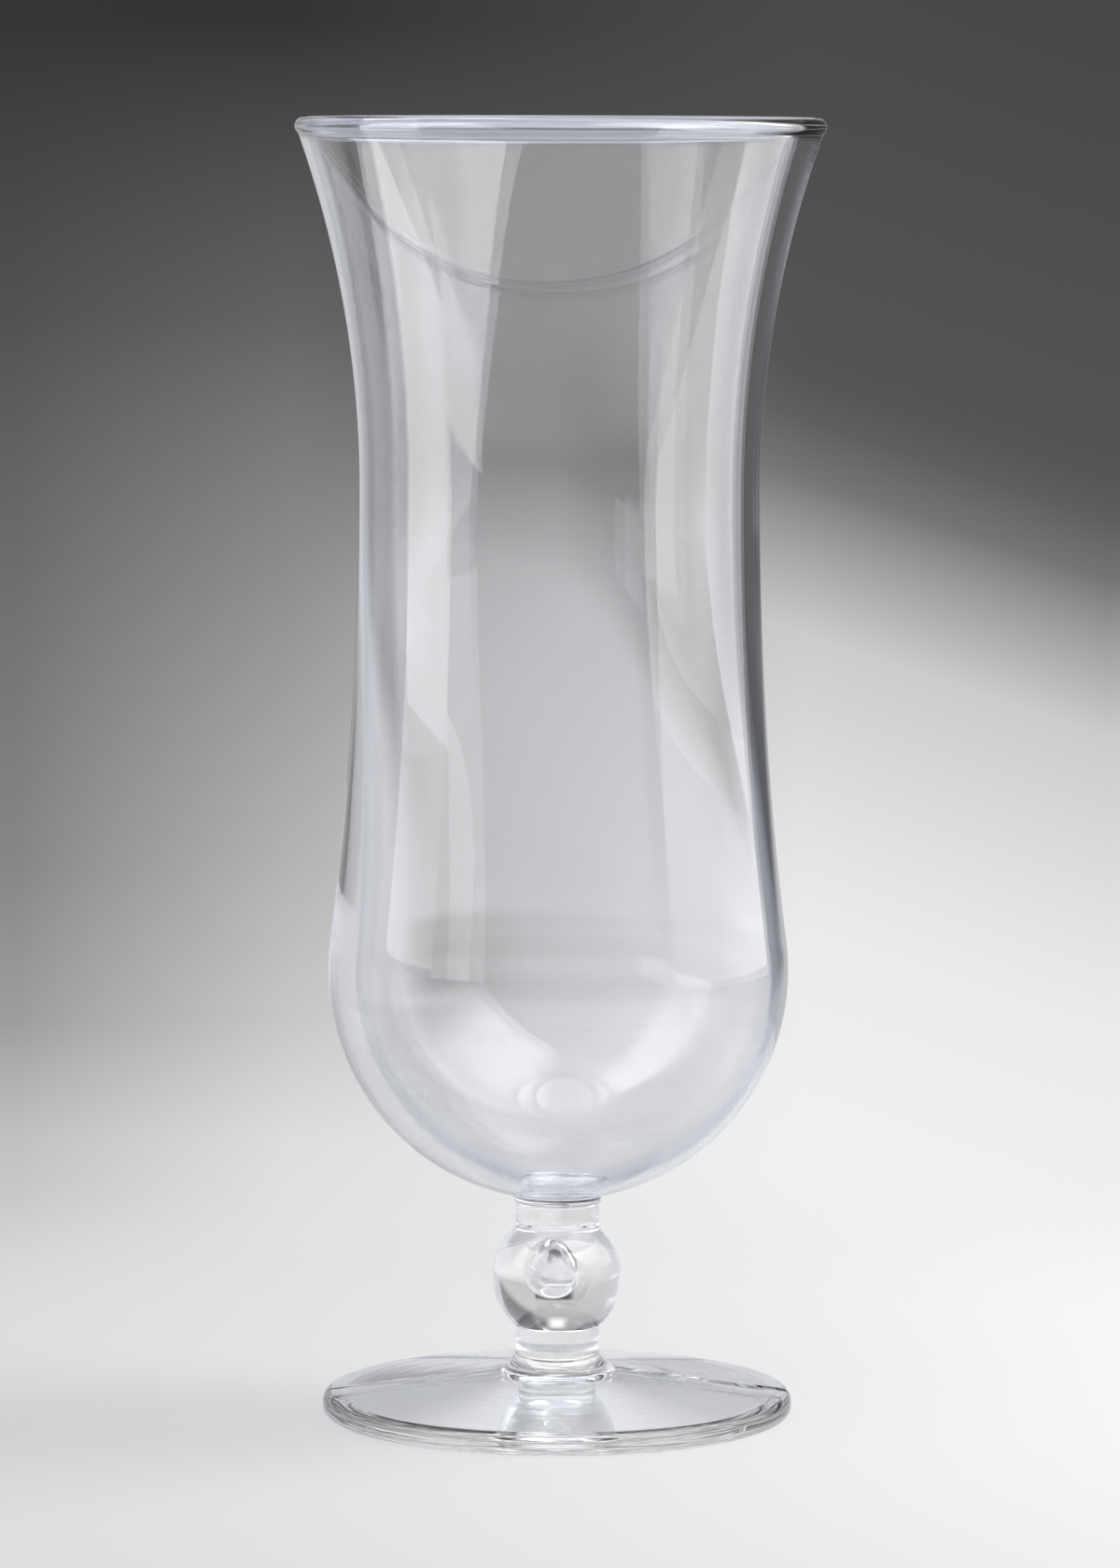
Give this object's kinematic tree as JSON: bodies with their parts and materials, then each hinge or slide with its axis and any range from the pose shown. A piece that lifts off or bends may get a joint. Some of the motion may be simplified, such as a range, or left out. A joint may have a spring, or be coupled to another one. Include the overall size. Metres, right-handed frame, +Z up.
{
  "type": "hurricane glass",
  "caption": "Tall clear drinking glass with a flared mouth, narrow waist and round belly, on a short stem with a ball and a wide round foot.",
  "frame": {"origin": "on the surface that the foot rests on, on the axis of the glass", "axes": "+Z up along the axis of the glass, -Y towards the viewer of the picture, +X to the viewer's right along the moulding seam of the foot"},
  "size_m": [0.082, 0.082, 0.202],
  "materials": {
    "clear_plastic": "clear colourless plastic with a faint blue-violet cast, polished",
    "clear_bond": "clear cured bond, very thin"
  },
  "bodies": {
    "root": {"bowl": "clear_plastic", "bond_film": "clear_bond", "stem_foot": "clear_plastic"}
  },
  "joints": []
}
